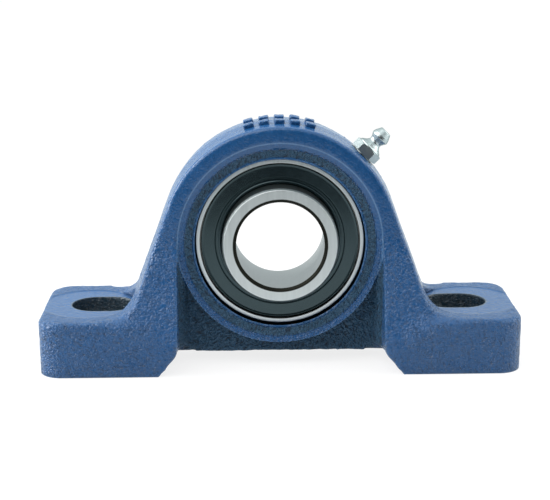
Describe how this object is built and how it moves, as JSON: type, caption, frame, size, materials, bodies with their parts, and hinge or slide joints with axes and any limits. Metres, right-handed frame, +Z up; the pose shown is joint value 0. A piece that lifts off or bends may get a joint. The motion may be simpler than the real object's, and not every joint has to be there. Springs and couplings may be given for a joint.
{
  "type": "pillow block bearing",
  "caption": "Foot-mounted cast housing with a self-aligning sealed ball bearing insert whose tapered bore takes an adapter sleeve; grease nipple on the arch.",
  "frame": {"origin": "centre of the base underside, midway between the two mounting slots, under the bore", "axes": "+X along the base towards the grease nipple side, +Y along the bore axis from the small end of the taper to the large end, +Z up from the base"},
  "size_m": [0.165, 0.048, 0.084],
  "materials": {
    "cast_iron_paint": "blue machine enamel over rough grey-iron casting",
    "ring_steel": "ground bearing steel",
    "ball_steel": "polished bearing steel",
    "cage_steel": "pressed sheet steel",
    "seal_rubber": "moulded nitrile rubber, satin",
    "seal_steel": "pressed sheet steel",
    "nipple_zinc": "bright zinc plate",
    "spring_steel": "drawn spring wire"
  },
  "bodies": {
    "housing": {"housing": "cast_iron_paint", "grease_nipple": "nipple_zinc", "nipple_spring": "spring_steel"},
    "outer_ring": {"outer_ring": "ring_steel", "seal_front_core": "seal_steel", "seal_front_lip": "seal_rubber", "seal_rear_core": "seal_steel", "seal_rear_lip": "seal_rubber"},
    "inner_ring": {"inner_ring": "ring_steel"},
    "cage": {"cage_front": "cage_steel", "cage_rear": "cage_steel", "cage_rivets": "cage_steel"},
    "ball_1": {"ball_1": "ball_steel"},
    "ball_2": {"ball_2": "ball_steel"},
    "ball_3": {"ball_3": "ball_steel"},
    "ball_4": {"ball_4": "ball_steel"},
    "ball_5": {"ball_5": "ball_steel"},
    "ball_6": {"ball_6": "ball_steel"},
    "ball_7": {"ball_7": "ball_steel"},
    "ball_8": {"ball_8": "ball_steel"},
    "ball_9": {"ball_9": "ball_steel"},
    "check_ball": {"nipple_check_ball": "ball_steel"}
  },
  "joints": [
    {"name": "insert_tilt", "type": "hinge", "parent": "housing", "child": "outer_ring", "pos_m": [0, 0, 0.0429], "axis": [1, 0, 0], "range_deg": [-2, 2]},
    {"name": "shaft_spin", "type": "hinge", "parent": "outer_ring", "child": "inner_ring", "pos_m": [0, 0, 0.0429], "axis": [0, 1, 0], "continuous": true},
    {"name": "cage_turn", "type": "hinge", "parent": "outer_ring", "child": "cage", "pos_m": [0, 0, 0.0429], "axis": [0, 1, 0], "continuous": true},
    {"name": "ball_1_spin", "type": "hinge", "parent": "cage", "child": "ball_1", "pos_m": [0, 0, 0.0659], "axis": [0, 1, 0], "continuous": true},
    {"name": "ball_2_spin", "type": "hinge", "parent": "cage", "child": "ball_2", "pos_m": [-0.01478, 0, 0.06052], "axis": [0, 1, 0], "continuous": true},
    {"name": "ball_3_spin", "type": "hinge", "parent": "cage", "child": "ball_3", "pos_m": [-0.02265, 0, 0.04689], "axis": [0, 1, 0], "continuous": true},
    {"name": "ball_4_spin", "type": "hinge", "parent": "cage", "child": "ball_4", "pos_m": [-0.01992, 0, 0.0314], "axis": [0, 1, 0], "continuous": true},
    {"name": "ball_5_spin", "type": "hinge", "parent": "cage", "child": "ball_5", "pos_m": [-0.00787, 0, 0.02129], "axis": [0, 1, 0], "continuous": true},
    {"name": "ball_6_spin", "type": "hinge", "parent": "cage", "child": "ball_6", "pos_m": [0.00787, 0, 0.02129], "axis": [0, 1, 0], "continuous": true},
    {"name": "ball_7_spin", "type": "hinge", "parent": "cage", "child": "ball_7", "pos_m": [0.01992, 0, 0.0314], "axis": [0, 1, 0], "continuous": true},
    {"name": "ball_8_spin", "type": "hinge", "parent": "cage", "child": "ball_8", "pos_m": [0.02265, 0, 0.04689], "axis": [0, 1, 0], "continuous": true},
    {"name": "ball_9_spin", "type": "hinge", "parent": "cage", "child": "ball_9", "pos_m": [0.01478, 0, 0.06052], "axis": [0, 1, 0], "continuous": true},
    {"name": "check_ball_slide", "type": "slide", "parent": "housing", "child": "check_ball", "axis": [-0.7071, 0, -0.7071], "range_m": [0, 0.0006], "stiffness_N_per_m": 400, "springref_m": -0.0008, "deforming": ["nipple_spring"]}
  ],
  "couplings": [
    {"joint": "cage_turn", "follows": "shaft_spin", "ratio": 0.39647},
    {"joint": "ball_1_spin", "follows": "shaft_spin", "ratio": -2.3112},
    {"joint": "ball_2_spin", "follows": "shaft_spin", "ratio": -2.3112},
    {"joint": "ball_3_spin", "follows": "shaft_spin", "ratio": -2.3112},
    {"joint": "ball_4_spin", "follows": "shaft_spin", "ratio": -2.3112},
    {"joint": "ball_5_spin", "follows": "shaft_spin", "ratio": -2.3112},
    {"joint": "ball_6_spin", "follows": "shaft_spin", "ratio": -2.3112},
    {"joint": "ball_7_spin", "follows": "shaft_spin", "ratio": -2.3112},
    {"joint": "ball_8_spin", "follows": "shaft_spin", "ratio": -2.3112},
    {"joint": "ball_9_spin", "follows": "shaft_spin", "ratio": -2.3112}
  ]
}
